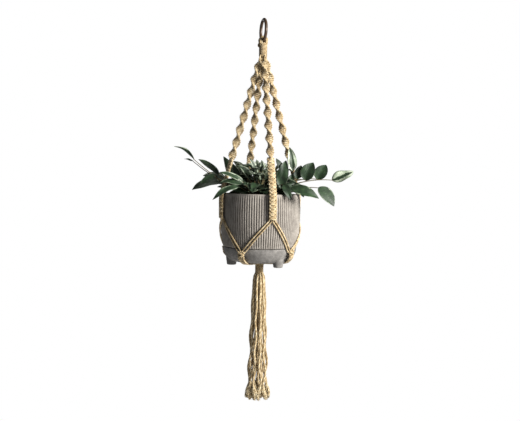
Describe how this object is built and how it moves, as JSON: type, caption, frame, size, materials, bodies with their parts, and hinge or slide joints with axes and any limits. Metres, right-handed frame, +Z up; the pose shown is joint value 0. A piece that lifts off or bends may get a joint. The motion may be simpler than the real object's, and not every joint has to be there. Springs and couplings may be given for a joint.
{
  "type": "hanging planter",
  "caption": "Hanging planter: a knotted cord hanger on a wooden ring holds a ribbed pot in a footed saucer, with a trailing plant and a tassel below.",
  "frame": {"origin": "the hang point: the top of the ring's inside, where a hook carries it", "axes": "+Z up along the hanging axis, -Y towards the front arm, +X towards the right arm; the ring lies in the YZ plane"},
  "size_m": [0.3896, 0.2126, 0.8367],
  "materials": {
    "ring_wood": "satin",
    "cord": "matte",
    "ribbed_cement": "matte",
    "smooth_cement": "matte",
    "soil": "matte",
    "leaf": "satin"
  },
  "bodies": {
    "ring": {"hanging_ring": "ring_wood"},
    "head": {"head_loop": "cord", "head_wrap": "cord"},
    "hanger": {"spiral_sennit_front": "cord", "spiral_sennit_right": "cord", "spiral_sennit_back": "cord", "spiral_sennit_left": "cord", "flat_sennit_front": "cord", "flat_sennit_right": "cord", "flat_sennit_back": "cord", "flat_sennit_left": "cord", "cradle_cord_front_a1": "cord", "cradle_cord_front_a2": "cord", "cradle_cord_front_b1": "cord", "cradle_cord_front_b2": "cord", "cradle_cord_right_a1": "cord", "cradle_cord_right_a2": "cord", "cradle_cord_right_b1": "cord", "cradle_cord_right_b2": "cord", "cradle_cord_back_a1": "cord", "cradle_cord_back_a2": "cord", "cradle_cord_back_b1": "cord", "cradle_cord_back_b2": "cord", "cradle_cord_left_a1": "cord", "cradle_cord_left_a2": "cord", "cradle_cord_left_b1": "cord", "cradle_cord_left_b2": "cord", "gather_knot_front_right": "cord", "gather_knot_back_right": "cord", "gather_knot_back_left": "cord", "gather_knot_front_left": "cord", "under_cords_front_right": "cord", "under_cords_back_right": "cord", "under_cords_back_left": "cord", "under_cords_front_left": "cord", "ribbed_pot": "ribbed_cement", "saucer": "smooth_cement"},
    "plant": {"soil": "soil", "leaf_spray_front_right": "leaf", "leaf_spray_back_right": "leaf", "leaf_spray_back_left": "leaf", "leaf_spray_front_left": "leaf"},
    "tassel_head": {"lower_wrap": "cord"},
    "tassel": {"tassel_strand_01": "cord", "tassel_strand_02": "cord", "tassel_strand_03": "cord", "tassel_strand_04": "cord", "tassel_strand_05": "cord", "tassel_strand_06": "cord", "tassel_strand_07": "cord", "tassel_strand_08": "cord", "tassel_strand_09": "cord", "tassel_strand_10": "cord", "tassel_strand_11": "cord", "tassel_strand_12": "cord", "tassel_strand_13": "cord", "tassel_strand_14": "cord", "tassel_strand_15": "cord", "tassel_strand_16": "cord"}
  },
  "joints": [
    {"name": "ring_swing", "type": "hinge", "parent": "ring", "child": "head", "pos_m": [0, 0, -0.0415], "axis": [0, 1, 0], "range_deg": [-40, 40]},
    {"name": "crown_swing", "type": "hinge", "parent": "head", "child": "hanger", "pos_m": [0, 0, -0.0785], "axis": [1, 0, 0], "range_deg": [-20, 20]},
    {"name": "plant_lift", "type": "slide", "parent": "hanger", "child": "plant", "axis": [0, 0, 1], "range_m": [0, 0.04]},
    {"name": "tassel_swing", "type": "hinge", "parent": "hanger", "child": "tassel_head", "pos_m": [0, 0, -0.5296], "axis": [1, 0, 0], "range_deg": [-25, 25]},
    {"name": "tassel_sway", "type": "hinge", "parent": "tassel_head", "child": "tassel", "pos_m": [0, 0, -0.5525], "axis": [0, 1, 0], "range_deg": [-25, 25]}
  ]
}
